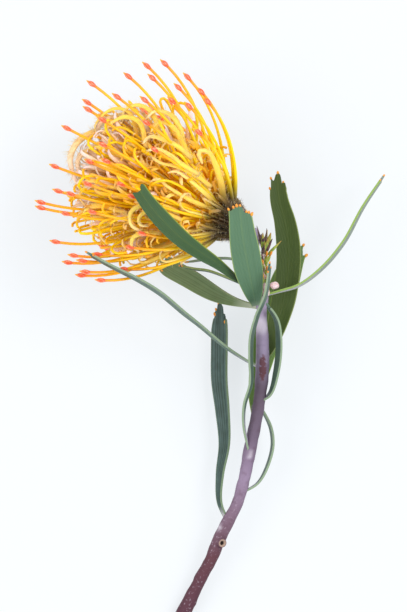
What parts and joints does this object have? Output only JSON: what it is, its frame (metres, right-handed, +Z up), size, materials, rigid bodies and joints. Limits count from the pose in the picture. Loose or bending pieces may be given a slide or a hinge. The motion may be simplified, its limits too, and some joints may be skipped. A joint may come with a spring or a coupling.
{
  "type": "cut pincushion flower",
  "caption": "Cut pincushion flower lying on its side: a woody leafy stem that carries a domed head of wiry golden styles with orange tips.",
  "frame": {"origin": "middle of the flower's own outline, on the surface that it lies on", "axes": "+Z up, +Y along the shoot from its cut end towards the flower head, +X to the right seen from above"},
  "size_m": [0.1403, 0.2324, 0.0791],
  "materials": {
    "bark": "matte",
    "leaf": "satin",
    "young_leaf": "matte",
    "bud": "matte",
    "bract": "matte",
    "floret": "satin"
  },
  "bodies": {
    "root": {"stem": "bark", "leaf_front": "leaf", "leaf_over_head": "leaf", "leaf_under_head": "leaf", "leaf_sliver_upper": "leaf", "leaf_sliver_lower": "leaf", "leaf_long_left": "leaf", "leaf_crossing": "leaf", "leaf_right_broad": "leaf", "leaf_right_back": "leaf", "leaf_right_long": "leaf", "leaf_bow": "leaf", "leaf_hanging": "leaf", "leaf_lower_right": "leaf", "shoot_tip": "young_leaf", "axillary_bud": "bud", "involucre": "bract", "flower_head": "floret"}
  },
  "joints": []
}
